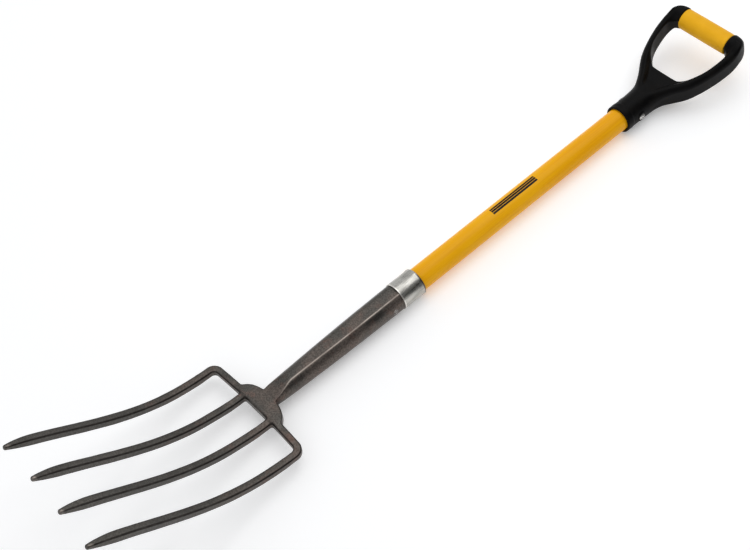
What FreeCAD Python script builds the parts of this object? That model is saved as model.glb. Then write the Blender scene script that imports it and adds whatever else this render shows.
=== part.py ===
import FreeCAD, Part
import math
import os

# Digging fork lying on its back, dished face up. Millimetres.
# +X across the head, +Y along the shaft towards the hand grip, +Z up, out of the dished face.
# Stations called *_at are measured along the shaft line from the points of the tines.

# overall
OVERALL_LENGTH = 1087.0
AXIS_HEIGHT = 20.0              # shaft axis above the floor the fork lies on
OVERCUT = 1.0                   # cutting shapes run this far past the faces they cut

# forged head
CROSSBAR_AT = 258.8             # its centre line at the corners
CROSSBAR_BOW = 2.9              # the middle stands this much nearer the socket
CROSSBAR_WIDTH = 9.4            # along the shaft line
CROSSBAR_DEPTH = 9.6            # along Z
CORNER_OUTER_RADIUS = 13.0
CORNER_INNER_RADIUS = 5.5
OUTER_TINE_ROOT_X = 82.1
OUTER_TINE_TIP_X = 80.0
INNER_TINE_ROOT_X = 25.4
INNER_TINE_TIP_X = 26.7
TINE_ROOT_WIDTH = 10.0
TINE_TIP_WIDTH = 10.2           # where the pointing starts
TINE_EDGE_CHAMFER = 1.3
POINT_LENGTH = 32.0
POINT_BLUNT_WIDTH = 5.2
POINT_FULLNESS = 1.85           # 1 would be a straight taper, more is a fuller point
OUTER_TINE_START_AT = 242.0     # below the bent corner
DISH_START_AT = 276.3
TIP_LIFT = 134.0                # points stand this far out of the shaft line
DISH_POWER = 2.77
DISH_FULLNESS = 1.64

# boss in the middle of the crossbar
BOSS_DEPTH = 12.6
BOSS_LOBE_X = 29.0
BOSS_LOBE_RADIUS = 9.5
BOSS_LOBE_AT = 264.0
BOSS_HALF_WIDTH = 41.0
BOSS_LAP = 20.0                 # crossbar halves run this far into the boss
BOSS_TOP_AT = 278.0
BOSS_NECK_HALF_WIDTH = 15.0

# socket
SOCKET_MOUTH_AT = 506.0
SOCKET_MOUTH_RADIUS = 17.85
SOCKET_MID_AT = 360.0
SOCKET_MID_RADIUS = 16.2
SOCKET_NECK_AT = 285.0
SOCKET_NECK_RADIUS = 13.5
SOCKET_FOOT_AT = 265.0
SOCKET_FOOT_HALF_WIDTH = 12.6
SOCKET_FOOT_HALF_DEPTH = 6.3
FACET_TOP_AT = 496.0            # the flat front facet runs out here, under the collar
FACET_FADE = 10.0
FRONT_FACET_SHARE = 0.885       # facet distance from the axis, as a share of the radius
NECK_FLAT_FROM = 309.0          # the facet sinks to the boss face between these stations
NECK_FLAT_TO = 278.0

# shaft: pultruded tube, moulded jacket and two riveting plugs
SHAFT_RADIUS = 16.0
JACKET_THICKNESS = 1.5
TUBE_WALL = 3.4
SHAFT_TAPER_AT = 503.0          # below this the tube tapers into the socket
SHAFT_LOW_AT = 375.0
SHAFT_LOW_RADIUS = 13.2
SHAFT_TOP_AT = 959.0
PLUG_LENGTH = 105.0

# collar
COLLAR_LOW_AT = 484.2
COLLAR_HIGH_AT = 519.5
COLLAR_RADIUS = 19.0
COLLAR_LIP_RADIUS = 2.2

# hand grip
GRIP_MOUTH_AT = 893.4
GRIP_RIM_RADIUS = 20.0          # thicker ring round the mouth
GRIP_RIM_LENGTH = 12.0
GRIP_RIM_ROUNDING = 1.5
GRIP_SOCKET_RADIUS = 19.5
GRIP_SOCKET_TOP_AT = 969.0
GRIP_BEND_AT = 937.0            # the D leans forward from this station
GRIP_LEAN_DEG = 15.25
GRIP_BAR_REACH = 140.0          # bend to grip axis, along the leaning plane
ARM_FRONT = 11.5                # arm faces, in front of the leaning plane and behind it
ARM_BACK = 20.0
ARM_THROAT_DEPTH = 18.2         # both faces, where the arms leave the socket
ARM_EVEN_FROM = 60.0            # reach from which the arms have an even depth
ARM_END_RADIUS = 15.9           # rounds the arm ends about the grip axis
ARM_END_STEP = 4.0              # the front faces meet the round ends this far below the grip axis
SLEEVE_RADIUS = 15.0
SLEEVE_HALF_LENGTH = 39.0
GRIP_BAR_RADIUS = 10.0
GRIP_BAR_SPIGOT = 6.0           # bar end let into each arm
SLEEVE_RIM_RADIUS = 1.5

# outlines of the D in its leaning plane: half width, reach from the bend
D_OUTER = [(16.5, -6.0), (19.2, 10.0), (27.8, 29.6), (45.3, 56.6), (56.0, 86.6), (61.4, 116.5), (59.4, 139.0)]
D_OUTER_TOP = [(51.5, 152.0), (41.0, 158.0)]
D_OPENING = [(21.7, 53.5), (29.3, 59.7), (38.9, 71.0), (45.9, 86.7), (49.8, 112.0), (47.0, 122.8),
             (39.5, 128.0)]

# rivets
RIVET_RADIUS = 3.0
RIVET_HEAD_RADIUS = 4.6
RIVET_HEAD_HEIGHT = 2.4
RIVET_HEAD_SUNK = 0.6
SOCKET_RIVET_AT = 469.0
SOCKET_RIVET_SKIN = 17.4        # socket radius under the rivet's heads
GRIP_RIVET_AT = 920.0

LEAN = math.radians(GRIP_LEAN_DEG)
ALONG_Y = FreeCAD.Vector(0, 1, 0)


def y_of(station):
    """Y of a station measured from the tine points."""
    return station - OVERALL_LENGTH / 2


def axis_point(station):
    return FreeCAD.Vector(0, y_of(station), AXIS_HEIGHT)


def rod(radius, start, end):
    """Solid cylinder on the shaft axis between two stations."""
    return Part.makeCylinder(radius, end - start, axis_point(start), ALONG_Y)


def taper(radius_start, radius_end, start, end):
    return Part.makeCone(radius_start, radius_end, end - start, axis_point(start), ALONG_Y)


def cross_rod(radius, half_length, station):
    """Solid cylinder across the fork, centred on the shaft axis at a station."""
    start = axis_point(station) + FreeCAD.Vector(-half_length, 0, 0)
    return Part.makeCylinder(radius, 2 * half_length, start, FreeCAD.Vector(1, 0, 0))


def lift(station):
    """Height of a tine's centre line above the shaft axis."""
    share = max(0.0, (DISH_START_AT - station) / DISH_START_AT)
    return TIP_LIFT * share ** DISH_POWER * (1 + DISH_FULLNESS * (1 - share))


def slope(station):
    """Angle of a tine's centre line above the shaft line."""
    step = 0.5
    return math.atan2(lift(station) - lift(station + step), step)


def chamfered_square(centre, half, chamfer, angle):
    """Closed section across a tine that runs at an angle above -Y."""
    across = FreeCAD.Vector(1, 0, 0)
    up = FreeCAD.Vector(0, math.sin(angle), math.cos(angle))
    corners = []
    for sign_x, sign_up in ((1, 1), (-1, 1), (-1, -1), (1, -1)):
        near_side = (sign_x * half, sign_up * (half - chamfer))
        near_face = (sign_x * (half - chamfer), sign_up * half)
        corners += [near_side, near_face] if sign_x == sign_up else [near_face, near_side]
    points = [centre + across * a + up * b for a, b in corners]
    return Part.makePolygon(points + [points[0]])


def even_steps(first, last, count):
    return [first + (last - first) * i / count for i in range(count + 1)]


def make_tine(root_x, tip_x, start):
    """Dished square tine with a full, blunt four-sided point."""

    def section(station):
        share = (start - station) / start
        half = (TINE_ROOT_WIDTH + (TINE_TIP_WIDTH - TINE_ROOT_WIDTH) * share) / 2
        point = max(0.0, (POINT_LENGTH - station) / POINT_LENGTH) ** POINT_FULLNESS
        half += (POINT_BLUNT_WIDTH / 2 - half) * point
        centre = FreeCAD.Vector(root_x + (tip_x - root_x) * share, y_of(station), AXIS_HEIGHT + lift(station))
        angle = 0.0 if station == start else slope(station)
        return chamfered_square(centre, half, TINE_EDGE_CHAMFER, angle)

    body = Part.makeLoft([section(station) for station in even_steps(start, POINT_LENGTH, 9)], True, False)
    point = Part.makeLoft([section(station) for station in even_steps(POINT_LENGTH, 0.0, 4)], True, True)
    return body.fuse(point).removeSplitter()


def extrude_outline(wire, depth):
    """Plate from a flat outline at the shaft axis height, centred on it."""
    plate = Part.Face(wire).extrude(FreeCAD.Vector(0, 0, depth))
    plate.translate(FreeCAD.Vector(0, 0, -depth / 2))
    return plate


def make_arm(side):
    """Half crossbar, its rounded corner and the stub that the outer tine grows from."""
    low = y_of(CROSSBAR_AT - CROSSBAR_WIDTH / 2)
    high = y_of(CROSSBAR_AT + CROSSBAR_WIDTH / 2)
    end = y_of(OUTER_TINE_START_AT)
    outside = OUTER_TINE_ROOT_X + TINE_ROOT_WIDTH / 2
    inside = OUTER_TINE_ROOT_X - TINE_ROOT_WIDTH / 2
    root = BOSS_HALF_WIDTH - BOSS_LAP
    bow = CROSSBAR_BOW * (1 - (root / OUTER_TINE_ROOT_X) ** 2)
    bend = math.sqrt(0.5)
    outer, inner = CORNER_OUTER_RADIUS, CORNER_INNER_RADIUS

    def at(x, y):
        return FreeCAD.Vector(side * x, y, AXIS_HEIGHT)

    outer_mid = at(outside - outer * (1 - bend), high - outer * (1 - bend))
    inner_mid = at(inside - inner * (1 - bend), low - inner * (1 - bend))
    edges = [
        Part.LineSegment(at(root, low + bow), at(root, high + bow)),
        Part.LineSegment(at(root, high + bow), at(outside - outer, high)),
        Part.Arc(at(outside - outer, high), outer_mid, at(outside, high - outer)),
        Part.LineSegment(at(outside, high - outer), at(outside, end)),
        Part.LineSegment(at(outside, end), at(inside, end)),
        Part.LineSegment(at(inside, end), at(inside, low - inner)),
        Part.Arc(at(inside, low - inner), inner_mid, at(inside - inner, low)),
        Part.LineSegment(at(inside - inner, low), at(root, low + bow)),
    ]
    wire = Part.Wire([edge.toShape() for edge in edges])
    return extrude_outline(wire, CROSSBAR_DEPTH)


def make_boss():
    """Thick middle of the crossbar with a round lobe either side of the neck."""
    centre = CROSSBAR_AT + CROSSBAR_BOW
    low = y_of(centre - CROSSBAR_WIDTH / 2)
    high = y_of(centre + CROSSBAR_WIDTH / 2)
    neck = y_of(BOSS_TOP_AT)
    corners = [
        (-BOSS_HALF_WIDTH, low),
        (BOSS_HALF_WIDTH, low),
        (BOSS_HALF_WIDTH, high),
        (BOSS_NECK_HALF_WIDTH, neck),
        (-BOSS_NECK_HALF_WIDTH, neck),
        (-BOSS_HALF_WIDTH, high),
    ]
    points = [FreeCAD.Vector(x, y, AXIS_HEIGHT) for x, y in corners]
    boss = extrude_outline(Part.makePolygon(points + [points[0]]), BOSS_DEPTH)
    for side in (-1, 1):
        foot = FreeCAD.Vector(side * BOSS_LOBE_X, y_of(BOSS_LOBE_AT), AXIS_HEIGHT - BOSS_DEPTH / 2)
        boss = boss.fuse(Part.makeCylinder(BOSS_LOBE_RADIUS, BOSS_DEPTH, foot))
    return boss


def make_shoulder(socket):
    shoulder = make_boss()
    for side in (-1, 1):
        shoulder = shoulder.fuse(make_arm(side))
    return shoulder.removeSplitter().cut(socket)


def socket_radius(station):
    """Radius of the two-cone socket above its neck."""
    if station < SOCKET_MID_AT:
        share = (station - SOCKET_NECK_AT) / (SOCKET_MID_AT - SOCKET_NECK_AT)
        return SOCKET_NECK_RADIUS + (SOCKET_MID_RADIUS - SOCKET_NECK_RADIUS) * share
    share = (station - SOCKET_MID_AT) / (SOCKET_MOUTH_AT - SOCKET_MID_AT)
    return SOCKET_MID_RADIUS + (SOCKET_MOUTH_RADIUS - SOCKET_MID_RADIUS) * share


def facet_section(station, front):
    """Wide rectangle that stops at a height in front of the axis."""
    wide = 2 * SOCKET_MOUTH_RADIUS
    outline = [(wide, front), (-wide, front), (-wide, -wide), (wide, -wide)]
    points = [FreeCAD.Vector(x, y_of(station), AXIS_HEIGHT + z) for x, z in outline]
    return Part.makePolygon(points + [points[0]])


def make_socket():
    """Tapered forged socket: round at the mouth, one flat front facet, flat at the foot."""
    upper = taper(SOCKET_MID_RADIUS, SOCKET_MOUTH_RADIUS, SOCKET_MID_AT, SOCKET_MOUTH_AT)
    lower = taper(SOCKET_NECK_RADIUS, SOCKET_MID_RADIUS, SOCKET_NECK_AT, SOCKET_MID_AT)
    neck_ring = Part.Circle(axis_point(SOCKET_NECK_AT), ALONG_Y, SOCKET_NECK_RADIUS).toShape()
    foot_ellipse = Part.Ellipse(axis_point(SOCKET_FOOT_AT) + FreeCAD.Vector(SOCKET_FOOT_HALF_WIDTH, 0, 0),
                                axis_point(SOCKET_FOOT_AT) + FreeCAD.Vector(0, 0, SOCKET_FOOT_HALF_DEPTH),
                                axis_point(SOCKET_FOOT_AT)).toShape()
    neck = Part.makeLoft([Part.Wire(foot_ellipse), Part.Wire(neck_ring)], True, True)
    blank = upper.fuse([lower, neck])
    fade_from = FACET_TOP_AT - FACET_FADE
    facets = [(SOCKET_FOOT_AT - OVERCUT, BOSS_DEPTH / 2), (NECK_FLAT_TO, BOSS_DEPTH / 2)]
    for station in (NECK_FLAT_FROM, SOCKET_MID_AT, fade_from):
        facets.append((station, socket_radius(station) * FRONT_FACET_SHARE))
    clear = SOCKET_MOUTH_RADIUS + OVERCUT
    facets += [(FACET_TOP_AT, SOCKET_MOUTH_RADIUS), (SOCKET_MOUTH_AT + OVERCUT, clear)]
    keep = Part.makeLoft([facet_section(station, front) for station, front in facets], True, True)
    return blank.common(keep)


def shaft_solid(inset):
    """Shaft outline as a solid, inset all round by a thickness."""
    top_radius = SHAFT_RADIUS - inset
    tapered = taper(SHAFT_LOW_RADIUS - inset, top_radius, SHAFT_LOW_AT, SHAFT_TAPER_AT)
    return tapered.fuse(rod(top_radius, SHAFT_TAPER_AT, SHAFT_TOP_AT)).removeSplitter()


def make_collar():
    """Plated ring over the socket's mouth, with a rolled upper lip on the shaft."""
    ring = rod(COLLAR_RADIUS, COLLAR_LOW_AT, COLLAR_HIGH_AT)
    ends = [edge for edge in ring.Edges if len(edge.Vertexes) == 1]
    lip = [edge for edge in ends if abs(edge.CenterOfMass.y - y_of(COLLAR_HIGH_AT)) < 0.1]
    ring = ring.makeFillet(COLLAR_LIP_RADIUS, lip)
    return ring.cut(rod(SHAFT_RADIUS, COLLAR_LOW_AT - OVERCUT, COLLAR_HIGH_AT + OVERCUT))


def leaning(x, reach, offset=0.0):
    """Point in the leaning plane of the D, or off it by an offset."""
    bend = axis_point(GRIP_BEND_AT)
    along = FreeCAD.Vector(0, math.cos(LEAN), math.sin(LEAN))
    out = FreeCAD.Vector(0, -math.sin(LEAN), math.cos(LEAN))
    return bend + FreeCAD.Vector(x, 0, 0) + along * reach + out * offset


def curve_through(outline, offset):
    spline = Part.BSplineCurve()
    spline.interpolate([leaning(x, reach, offset) for x, reach in outline])
    return spline.toShape()


def closed_outline(half_outlines, offset):
    """Closed wire from curves down one half, mirrored to the other half."""
    edges = []
    for side in (1, -1):
        for outline in half_outlines:
            edges.append(curve_through([(side * x, reach) for x, reach in outline], offset))
    first, last = half_outlines[0][0], half_outlines[-1][-1]
    for x, reach in (first, last):
        edges.append(Part.makeLine(leaning(-x, reach, offset), leaning(x, reach, offset)))
    return Part.Wire(Part.__sortEdges__(edges))


def make_arm_envelope():
    """Depth of the arms seen from the side: deeper behind, then round about the grip axis."""
    width = 2 * (max(x for x, reach in D_OUTER) + 5 * OVERCUT)
    side = leaning(-width / 2, 0) - leaning(0, 0)
    throat = (D_OUTER[0][1] - OVERCUT, ARM_THROAT_DEPTH)
    even_to = GRIP_BAR_REACH - ARM_END_RADIUS
    on_end = (GRIP_BAR_REACH - ARM_END_STEP, math.sqrt(ARM_END_RADIUS ** 2 - ARM_END_STEP ** 2))
    front = [throat, (ARM_EVEN_FROM, ARM_FRONT), (even_to, ARM_FRONT), on_end]
    back = [throat, (ARM_EVEN_FROM, ARM_BACK), (even_to, ARM_BACK), (GRIP_BAR_REACH, ARM_END_RADIUS)]
    corners = [leaning(0, reach, offset) + side for reach, offset in front]
    corners += [leaning(0, reach, -offset) + side for reach, offset in reversed(back)]
    across = FreeCAD.Vector(width, 0, 0)
    strap = Part.Face(Part.makePolygon(corners + [corners[0]])).extrude(across)
    start = leaning(-width / 2, GRIP_BAR_REACH)
    end = Part.makeCylinder(ARM_END_RADIUS, width, start, FreeCAD.Vector(1, 0, 0))
    return strap.fuse(end)


def make_yoke():
    """Moulded D: a socket for the shaft and two arms that carry the grip."""
    low = -GRIP_SOCKET_RADIUS
    depth = leaning(0, 0, GRIP_SOCKET_RADIUS) - leaning(0, 0, low)
    through = leaning(0, 0, GRIP_SOCKET_RADIUS + OVERCUT) - leaning(0, 0, low - OVERCUT)
    past = 5 * OVERCUT
    blank = Part.Face(closed_outline([D_OUTER, [D_OUTER[-1]] + D_OUTER_TOP], low)).extrude(depth)
    opening = Part.Face(closed_outline([D_OPENING], low - OVERCUT)).extrude(through)
    above = [(SLEEVE_HALF_LENGTH, D_OPENING[-1][1] - past), (SLEEVE_HALF_LENGTH, D_OUTER_TOP[-1][1] + past)]
    slot = Part.Face(closed_outline([above], low - OVERCUT)).extrude(through)
    arms = blank.common(make_arm_envelope()).cut(opening).cut(slot)
    socket = rod(GRIP_SOCKET_RADIUS, GRIP_MOUTH_AT + GRIP_RIM_LENGTH / 2, GRIP_SOCKET_TOP_AT)
    rim = rod(GRIP_RIM_RADIUS, GRIP_MOUTH_AT, GRIP_MOUTH_AT + GRIP_RIM_LENGTH)
    rim = rim.makeFillet(GRIP_RIM_ROUNDING, [edge for edge in rim.Edges if len(edge.Vertexes) == 1])
    return arms.fuse([socket, rim])


def grip_cylinder(radius, half_length):
    start = leaning(-half_length, GRIP_BAR_REACH)
    return Part.makeCylinder(radius, 2 * half_length, start, FreeCAD.Vector(1, 0, 0))


def make_sleeve():
    sleeve = grip_cylinder(SLEEVE_RADIUS, SLEEVE_HALF_LENGTH)
    sleeve = sleeve.makeFillet(SLEEVE_RIM_RADIUS, [edge for edge in sleeve.Edges if len(edge.Vertexes) == 1])
    return sleeve.cut(grip_cylinder(GRIP_BAR_RADIUS, SLEEVE_HALF_LENGTH + OVERCUT))


def make_rivet(station, skin_radius):
    """Cross rivet with a domed head at each end."""
    rivet = cross_rod(RIVET_RADIUS, skin_radius, station)
    dome_radius = (RIVET_HEAD_RADIUS ** 2 + RIVET_HEAD_HEIGHT ** 2) / (2 * RIVET_HEAD_HEIGHT)
    seat = skin_radius - RIVET_HEAD_SUNK
    for side in (-1, 1):
        outward = FreeCAD.Vector(side, 0, 0)
        foot = axis_point(station) + outward * seat
        ball = Part.makeSphere(dome_radius, foot + outward * (RIVET_HEAD_HEIGHT - dome_radius))
        cap = Part.makeCylinder(RIVET_HEAD_RADIUS, RIVET_HEAD_HEIGHT, foot, outward)
        rivet = rivet.fuse(ball.common(cap))
    return rivet


def build():
    """Every node of the fork by name, cut so that neighbours meet face to face."""
    socket_rivet = make_rivet(SOCKET_RIVET_AT, SOCKET_RIVET_SKIN)
    grip_rivet = make_rivet(GRIP_RIVET_AT, GRIP_SOCKET_RADIUS)
    rivets = [socket_rivet, grip_rivet]

    socket_blank = make_socket()
    shaft = shaft_solid(0.0)
    tube = shaft_solid(JACKET_THICKNESS)
    bore = shaft_solid(JACKET_THICKNESS + TUBE_WALL)
    lower_plug = bore.common(rod(SHAFT_RADIUS, SHAFT_LOW_AT, SHAFT_LOW_AT + PLUG_LENGTH))
    upper_plug = bore.common(rod(SHAFT_RADIUS, SHAFT_TOP_AT - PLUG_LENGTH, SHAFT_TOP_AT))
    grip_bar = grip_cylinder(GRIP_BAR_RADIUS, SLEEVE_HALF_LENGTH + GRIP_BAR_SPIGOT)

    inner_tine_start = CROSSBAR_AT + CROSSBAR_BOW - CROSSBAR_WIDTH / 2
    nodes = {
        "socket": socket_blank.cut(shaft).cut(socket_rivet),
        "shoulder": make_shoulder(socket_blank),
        "tine_outer_left": make_tine(-OUTER_TINE_ROOT_X, -OUTER_TINE_TIP_X, OUTER_TINE_START_AT),
        "tine_inner_left": make_tine(-INNER_TINE_ROOT_X, -INNER_TINE_TIP_X, inner_tine_start),
        "tine_inner_right": make_tine(INNER_TINE_ROOT_X, INNER_TINE_TIP_X, inner_tine_start),
        "tine_outer_right": make_tine(OUTER_TINE_ROOT_X, OUTER_TINE_TIP_X, OUTER_TINE_START_AT),
        "collar": make_collar().cut(socket_blank),
        "socket_rivet": socket_rivet,
        "shaft_jacket": shaft.cut(tube).cut(rivets),
        "shaft_tube": tube.cut(bore).cut(rivets),
        "lower_plug": lower_plug.cut(socket_rivet),
        "upper_plug": upper_plug.cut(grip_rivet),
        "handle_yoke": make_yoke().cut([shaft, grip_bar, grip_rivet]),
        "grip_bar": grip_bar,
        "grip_sleeve": make_sleeve(),
        "grip_rivet": grip_rivet,
    }
    return nodes


def main():
    os.makedirs("parts", exist_ok=True)
    for name, shape in build().items():
        box = shape.BoundBox
        print(name, "solids", len(shape.Solids), "valid", shape.isValid(), "volume", round(shape.Volume),
              "y", round(box.YMin, 1), round(box.YMax, 1), "z", round(box.ZMin, 1), round(box.ZMax, 1))
        shape.exportStep("parts/" + name + ".step")


main()
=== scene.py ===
import math
import bpy
import bmesh
import numpy as np
from mathutils import Matrix, Vector, noise


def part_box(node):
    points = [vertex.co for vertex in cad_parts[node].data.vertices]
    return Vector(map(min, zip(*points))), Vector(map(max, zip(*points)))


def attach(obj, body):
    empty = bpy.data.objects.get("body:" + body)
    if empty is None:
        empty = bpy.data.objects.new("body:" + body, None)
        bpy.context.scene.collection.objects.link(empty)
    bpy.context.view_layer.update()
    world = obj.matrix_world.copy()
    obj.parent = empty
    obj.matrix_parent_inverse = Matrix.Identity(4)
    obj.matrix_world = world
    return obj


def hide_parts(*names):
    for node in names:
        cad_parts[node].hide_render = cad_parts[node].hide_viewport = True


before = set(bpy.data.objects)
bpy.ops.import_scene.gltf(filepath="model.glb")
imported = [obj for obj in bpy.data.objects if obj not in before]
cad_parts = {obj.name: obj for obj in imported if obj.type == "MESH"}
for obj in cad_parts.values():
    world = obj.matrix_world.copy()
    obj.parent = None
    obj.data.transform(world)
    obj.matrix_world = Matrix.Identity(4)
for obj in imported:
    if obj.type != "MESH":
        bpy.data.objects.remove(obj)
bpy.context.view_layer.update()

# Digging fork on its back, dished face up. Shapes are worked out in millimetres and stored in metres.
# +X across the head, +Y along the shaft to the hand grip, +Z up. Stations run from the tine points.
MM = 0.001


def node_size(node):
    """Lowest and highest corner of a CAD node, in millimetres."""
    low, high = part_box(node)
    return np.array(low) / MM, np.array(high) / MM


SHAFT_LOW, SHAFT_HIGH = node_size("shaft_jacket")
COLLAR_LOW, COLLAR_HIGH = node_size("collar")
SLEEVE_LOW, SLEEVE_HIGH = node_size("grip_sleeve")
AXIS_HEIGHT = (SHAFT_LOW[2] + SHAFT_HIGH[2]) / 2
SHAFT_RADIUS = (SHAFT_HIGH[0] - SHAFT_LOW[0]) / 2
COLLAR_RADIUS = (COLLAR_HIGH[0] - COLLAR_LOW[0]) / 2
SLEEVE_HALF_LENGTH = (SLEEVE_HIGH[0] - SLEEVE_LOW[0]) / 2
SLEEVE_RADIUS = (SLEEVE_HIGH[2] - SLEEVE_LOW[2]) / 2

# tines
OVERALL_LENGTH = 1087.0
OUTER_TINE_ROOT_X = 81.6
OUTER_TINE_TIP_X = 80.0
INNER_TINE_ROOT_X = 25.4
INNER_TINE_TIP_X = 26.7
TINE_ROOT_AT = 242.0
TINE_ROOT_WIDTH = 10.0
TINE_TIP_WIDTH = 10.2
TINE_EDGE_CHAMFER = 1.35
POINT_LENGTH = 32.0
POINT_BLUNT_WIDTH = 5.2
POINT_FULLNESS = 1.85  # 1 would be a straight taper, more is a fuller point
DISH_START_AT = 276.3
TIP_LIFT = 134.0
DISH_POWER = 2.77
DISH_FULLNESS = 1.64

# crossbar and its boss
CROSSBAR_AT = 258.8
CROSSBAR_BOW = 2.9  # the middle stands this much nearer the socket
CROSSBAR_WIDTH = 9.4
CROSSBAR_DEPTH = 9.6
CORNER_OUTER_RADIUS = 13.0
CORNER_INNER_RADIUS = 5.5
BOSS_DEPTH = 12.6
BOSS_SLOPE_DEG = 24.0  # top edge of the lobes, falling away from the neck
BOSS_TOP_AT = 273.8  # where that edge is, at BOSS_TOP_X from the middle
BOSS_TOP_X = 30.0
BOSS_END_DEG = 64.0  # outer end of the lobes
BOSS_END_X = 39.0
BOSS_SETBACK = 2.5  # from the tine side of the crossbar
BOSS_FILLET = 2.0
TINE_FILLET = 3.0
LOBE_RADIUS = 7.5
LOBE_CROWN = 1.2  # their top edge is rounded this much across
LOBE_CROWN_SHARE = 0.6  # and stands proud by this share of it
LOBE_MIDDLE_X = 28.5
LOBE_HALF_WIDTH = 13.0
HEAD_SKEW = 0.9  # the forging is not quite square: one corner stands this much lower
HEAD_DRIFT = 0.45  # and its crossbar and lobes stand a little to one side
LOBE_DRIFT = 0.7
INNER_POINT_SHORT = 2.4  # the inner points stop short of the outer ones
OUTER_POINT_SHORT = 0.9
FORGED_UNEVENNESS = 0.16
FORGED_WAVELENGTH = 26.0

# socket
SOCKET_MOUTH_AT = 506.0
SOCKET_MOUTH_RADIUS = 17.85
SOCKET_NECK_AT = 285.0
SOCKET_NECK_RADIUS = 13.5
FACET_TOP_AT = 496.0  # under the collar
FACET_FADE = 10.0
FRONT_FACET_SHARE = 0.885  # distance of the front facet from the axis, as a share of the radius
FACET_LIFT = 0.18  # its share of the radius gained where it fades out
NECK_FACET_GAIN = 0.03  # and gained towards the neck, so the facet narrows
NECK_FACET_FROM = 400.0
NECK_FACET_RUN = 90.0
RIDGE_ROUNDING = 1.1
NECK_FLAT_FROM = 312.0  # the front facet sinks to the boss face between these stations
NECK_FLAT_TO = 270.0
NECK_SLOPE = 0.16  # and dives into it from there on
TUCK_FROM = 294.0  # the back of the socket is tucked into the boss
TUCK_RUN = 32.0
TUCK_DEPTH = 4.0
SOCKET_FILLET = 1.6
SHAFT_TAPER_AT = 503.0
SHAFT_LOW_AT = 375.0
SHAFT_LOW_RADIUS = 13.2

# hand grip
GRIP_MOUTH_AT = 893.4
GRIP_RIM_RADIUS = 20.0  # thicker ring round the mouth
GRIP_RIM_LENGTH = 12.0
GRIP_SOCKET_RADIUS = 19.3
NARROWING = 11.0  # of that socket inside the D
NARROWING_FROM = 935.0  # in front; behind, it stays thick to the end of the bore
NARROWING_FROM_BACK = 955.0
NARROWING_TO = 995.0
GRIP_SOCKET_END_AT = 993.0
GRIP_BEND_AT = 937.0
GRIP_LEAN = math.radians(15.25)
GRIP_BAR_REACH = 140.0
GRIP_BAR_RADIUS = 10.0
GRIP_BAR_SPIGOT = 6.0
ARM_FRONT = 11.5  # arm faces, out from the leaning plane and behind it
ARM_BACK = 17.2
ARM_FLARE = 4.6  # extra depth behind, at the outer side
THROAT_BACK = 2.0  # and near the throat
THROAT_DEPTH = 17.2  # both faces, where the arms leave the socket
ARM_END_RADIUS = 15.9
ARM_OPENING_ROUNDING = 2.0  # edge round the hand opening
ARM_FRONT_ROUNDING = 9.0  # outer edge in front
ARM_BACK_ROUNDING = 5.0  # and behind
ARM_END_ROUNDING = 4.5  # outer edge in front, beside the grip
THROAT_ROUNDING = 16.0  # where the arms leave the socket
WEB_DISH = 5.5
D_DRIFT = 1.9  # the grip end of the D stands a little to one side
D_DRIFT_FROM = 108.0
SHAFT_TOP_AT = 959.0

# outlines of half the D in its leaning plane: half width, reach from the bend
D_OUTER = [(16.5, -6.0), (19.2, 10.0), (27.8, 29.6), (45.3, 56.6), (56.0, 86.6), (61.4, 116.5),
           (59.4, 139.0), (52.0, 152.0), (41.0, 158.0), (34.0, 159.0)]
D_OPENING = [(12.0, 52.5), (21.6, 53.5), (29.3, 59.7), (38.9, 71.0), (45.9, 86.7), (49.8, 112.0),
             (47.0, 122.8), (39.3, 128.0)]

# rivets
GRIP_RIVET_RADIUS = 5.0
GRIP_RIVET_HEIGHT = 2.6
SOCKET_RIVET_RADIUS = 5.2
SOCKET_RIVET_HEIGHT = 1.2
SOCKET_RIVET_AT = 469.0
SOCKET_RIVET_SEAT = 16.9  # where its head starts, out from the axis
GRIP_RIVET_AT = 920.0
RIVET_PAD_RADIUS = 7.0

# values stored on the head's points for its finish: painted shade and painted highlight
SHADE_MARK = "painted_corner_shade"
HIGHLIGHT_MARK = "painted_ridge_highlight"

# mesh fineness
HEAD_PITCH = 0.6
HANDLE_PITCH = 1.0
HEAD_NET_LOW = 239.0
HEAD_NET_HIGH = 313.0


# -------- fields and meshes


def y_of(station):
    return station - OVERALL_LENGTH / 2


def smoothstep(value):
    share = np.clip(value, 0.0, 1.0)
    return share * share * (3 - 2 * share)


def smooth_max(a, b, width):
    """Larger of two fields, rounded over a width where they meet."""
    share = np.clip(0.5 + 0.5 * (a - b) / width, 0.0, 1.0)
    return b + (a - b) * share + width * share * (1 - share)


def smooth_min(a, b, width):
    return -smooth_max(-a, -b, width)


def rounded_corner(a, b, radius):
    """What two fields share, with their common corner rounded to a radius."""
    outside = np.hypot(np.maximum(a + radius, 0), np.maximum(b + radius, 0))
    return outside + np.minimum(np.maximum(a, b) + radius, 0) - radius


def chamfered_corner(a, b, chamfer, rounding):
    """What two fields share, with their common corner cut off."""
    cut = (a + b + chamfer) / math.sqrt(2)
    return smooth_max(np.maximum(a, b), cut, rounding)


def settle(points, field, steps=4):
    """Moves points straight onto the surface where a field is zero."""
    probe = 0.02
    for _ in range(steps):
        slopes = [field(points + shift) - field(points - shift) for shift in np.eye(3) * probe]
        gradient = np.stack(slopes, -1) / (2 * probe)
        share = field(points) / np.maximum((gradient ** 2).sum(-1), 0.25)
        points = points - gradient * np.clip(share, -1.0, 1.0)[:, None]
    return points


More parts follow.
